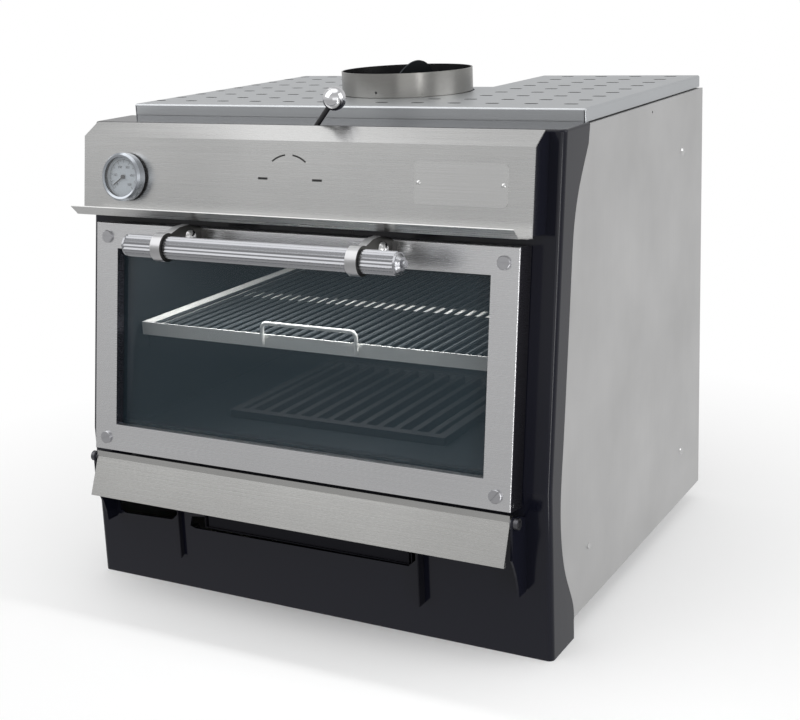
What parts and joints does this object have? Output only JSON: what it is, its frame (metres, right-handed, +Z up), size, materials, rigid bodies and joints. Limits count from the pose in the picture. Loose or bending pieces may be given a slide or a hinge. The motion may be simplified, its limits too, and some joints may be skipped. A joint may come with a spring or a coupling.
{
  "type": "charcoal oven",
  "caption": "Tabletop charcoal oven: leaning black front, glazed drop-down door, thermometer, air flap, ash drawer, rack, slotted cover and flue collar with damper.",
  "frame": {"origin": "centre of the bounding box in X and Y, on the table at the underside (Z = 0)", "axes": "+X to the right seen from the door, +Y to the back, +Z up"},
  "size_m": [0.7416, 0.7428, 0.7454],
  "materials": {
    "gloss_black": "gloss enamel",
    "matt_black": "matt",
    "stainless": "brushed",
    "polished": "polished",
    "oven_glass": "clear, dark behind",
    "clear_glass": "clear",
    "rope": "woven glass-fibre rope",
    "plate_metal": "satin, left blank",
    "dial_white": "printed white",
    "needle_black": "matt",
    "zinc": "zinc-plated",
    "foot_rubber": "matt",
    "brass_bush": "plain",
    "liner_steel": "heat-dulled",
    "grate_iron": "rough",
    "rack_steel": "drawn wire and strip",
    "wool": "mineral wool"
  },
  "bodies": {
    "oven": {"ash_chamber": "liner_steel", "base_pan": "zinc", "blank_plate": "plate_metal", "body_top_plate": "stainless", "control_panel": "stainless", "cover_stands": "zinc", "damper_bushes": "brass_bush", "door_hinge_lugs": "stainless", "door_pins": "stainless", "feet": "foot_rubber", "fire_grate": "grate_iron", "firebox_liner": "liner_steel", "flap_ear_left": "gloss_black", "flap_ear_right": "gloss_black", "flap_rest_lugs": "matt_black", "flue_collar": "stainless", "flue_duct": "stainless", "flue_rivet": "matt_black", "front_surround": "gloss_black", "gauge_bezel": "polished", "gauge_case": "matt_black", "gauge_dial": "dial_white", "gauge_lens": "clear_glass", "gauge_nut": "stainless", "gauge_stem": "stainless", "insulation": "wool", "oil_nipple": "polished", "panel_end_left": "gloss_black", "panel_end_right": "gloss_black", "perforated_cover": "stainless", "plate_rivets": "polished", "rack_rails": "liner_steel", "rear_panel": "stainless", "rear_screws": "polished", "side_bolts": "polished", "side_panel_left": "stainless", "side_panel_right": "stainless"},
    "door": {"door_frame": "stainless", "door_inner_frame": "matt_black", "door_glass": "oven_glass", "door_seal": "rope", "door_screws": "polished", "handle_bar": "polished", "handle_cap_left": "polished", "handle_cap_right": "polished", "handle_bracket_left": "polished", "handle_bracket_right": "polished", "handle_bolts": "polished"},
    "air_flap": {"air_flap": "stainless", "flap_pins": "stainless"},
    "ash_drawer": {"ash_drawer": "matt_black"},
    "damper": {"damper_disc": "stainless", "damper_shaft": "stainless", "damper_lever": "matt_black", "lever_ball": "polished"},
    "rack": {"rack_frame": "rack_steel", "rack_rods": "rack_steel", "rack_grip": "rack_steel"},
    "needle": {"gauge_needle": "needle_black"}
  },
  "joints": [
    {"name": "door_hinge", "type": "hinge", "parent": "oven", "child": "door", "pos_m": [0, -0.30875, 0.22181], "axis": [1, 0, 0], "range_deg": [0, 98]},
    {"name": "flap_hinge", "type": "hinge", "parent": "oven", "child": "air_flap", "pos_m": [0, -0.31048, 0.199], "axis": [1, 0, 0], "range_deg": [-60, 0]},
    {"name": "drawer_slide", "type": "slide", "parent": "oven", "child": "ash_drawer", "axis": [0, -1, 0], "range_m": [0, 0.3]},
    {"name": "damper_turn", "type": "hinge", "parent": "oven", "child": "damper", "pos_m": [0, -0.07698, 0.659], "axis": [0, 1, 0], "range_deg": [-97, 18]},
    {"name": "rack_slide", "type": "slide", "parent": "oven", "child": "rack", "axis": [0, -1, 0], "range_m": [0, 0.015]},
    {"name": "needle_turn", "type": "hinge", "parent": "oven", "child": "needle", "pos_m": [-0.271, -0.27573, 0.61163], "axis": [0, -0.9895, 0.1444], "range_deg": [-252, 0]}
  ]
}
